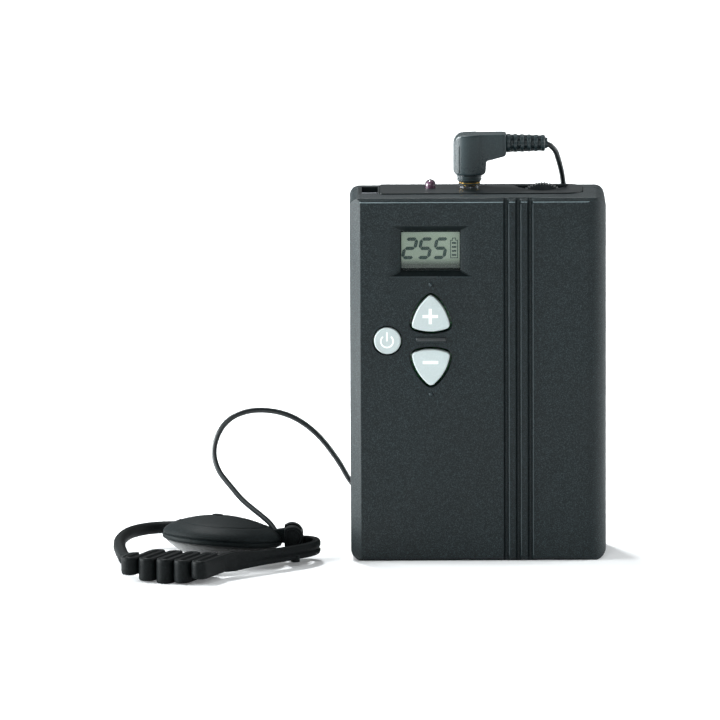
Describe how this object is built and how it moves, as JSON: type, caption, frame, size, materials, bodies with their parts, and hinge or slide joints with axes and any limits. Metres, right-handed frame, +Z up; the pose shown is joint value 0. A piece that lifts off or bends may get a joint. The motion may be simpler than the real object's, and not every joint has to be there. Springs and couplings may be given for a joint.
{
  "type": "wireless receiver unit",
  "caption": "Pocket wireless audio receiver with display, keys, volume wheel and battery door, and its plugged-in ear-hook earphone.",
  "frame": {"origin": "middle of the receiver's base, on the surface it stands on", "axes": "+X to the right of the display side, +Y from the front face to the back, +Z up"},
  "size_m": [0.1351, 0.0946, 0.1155],
  "materials": {
    "case_black": "fine textured",
    "panel_black": "satin",
    "key_grey": "satin",
    "window": "clear, flat",
    "display": "satin",
    "board_green": "satin",
    "inner_black": "satin",
    "inner_grey": "matt",
    "tin": "satin",
    "cell_wrap": "gloss sleeve",
    "spring_steel": "bright",
    "screw_steel": "satin",
    "bar_steel": "satin",
    "nut_chrome": "polished",
    "lamp_clear": "clear, faint pink",
    "copper": "bright",
    "wheel_black": "satin",
    "plug_black": "satin",
    "plug_gold": "polished",
    "cord_black": "satin",
    "hook_black": "satin",
    "pod_black": "satin",
    "pad_grey": "matt",
    "foot_rubber": "matt"
  },
  "bodies": {
    "receiver": {"front_shell": "case_black", "back_shell": "case_black", "top_panel": "panel_black", "lcd_window": "window", "lcd_module": "display", "key_board": "board_green", "key_switches": "inner_grey", "main_board": "board_green", "rf_shield": "tin", "board_header": "inner_black", "antenna": "copper", "jack_socket": "inner_black", "jack_nut": "nut_chrome", "status_lamp": "lamp_clear", "volume_control": "inner_grey", "lanyard_cup": "case_black", "lanyard_bar": "bar_steel", "cell_tray": "inner_black", "cell_left": "cell_wrap", "cell_right": "cell_wrap", "contact_plates": "spring_steel", "contact_springs": "spring_steel", "foot_pads": "foot_rubber", "case_screws": "screw_steel", "board_screws": "screw_steel", "key_board_screws": "screw_steel"},
    "power_button": {"power_key": "key_grey", "power_plunger": "inner_black"},
    "plus_button": {"plus_key": "key_grey", "plus_plunger": "inner_black"},
    "minus_button": {"minus_key": "key_grey", "minus_plunger": "inner_black"},
    "wheel": {"volume_wheel": "wheel_black"},
    "door": {"battery_door": "case_black"},
    "earphone": {"plug_body": "plug_black", "plug_collar": "plug_black", "plug_pin": "plug_gold", "strain_relief": "cord_black", "cord_drop": "cord_black", "cord_coil": "cord_black", "coil_tie": "cord_black", "cord_arch": "cord_black", "speaker_shell": "pod_black", "speaker_bezel": "pod_black", "speaker_driver": "inner_grey", "ear_pad": "pad_grey", "speaker_cap": "pod_black"},
    "hook": {"swivel_knob": "hook_black", "swivel_axle": "screw_steel", "ear_hook": "hook_black", "hook_rivet": "hook_black"}
  },
  "joints": [
    {"name": "power_press", "type": "slide", "parent": "receiver", "child": "power_button", "axis": [0, 1, 0], "range_m": [0, 0.0004], "stiffness_N_per_m": 1500},
    {"name": "plus_press", "type": "slide", "parent": "receiver", "child": "plus_button", "axis": [0, 1, 0], "range_m": [0, 0.0004], "stiffness_N_per_m": 1500},
    {"name": "minus_press", "type": "slide", "parent": "receiver", "child": "minus_button", "axis": [0, 1, 0], "range_m": [0, 0.0004], "stiffness_N_per_m": 1500},
    {"name": "volume_turn", "type": "hinge", "parent": "receiver", "child": "wheel", "pos_m": [0.0179, 0.006, 0.0944], "axis": [0, 1, 0], "range_deg": [-135, 135]},
    {"name": "door_swing", "type": "hinge", "parent": "receiver", "child": "door", "pos_m": [0, 0.0119, 0.0046], "axis": [-1, 0, 0], "range_deg": [0, 78]},
    {"name": "plug_pull", "type": "slide", "parent": "receiver", "child": "earphone", "axis": [0, 0, 1], "range_m": [0, 0.015]},
    {"name": "hook_swivel", "type": "hinge", "parent": "earphone", "child": "hook", "pos_m": [-0.0511, -0.012, 0.0072], "axis": [0, 1, 0], "range_deg": [0, 20]}
  ]
}
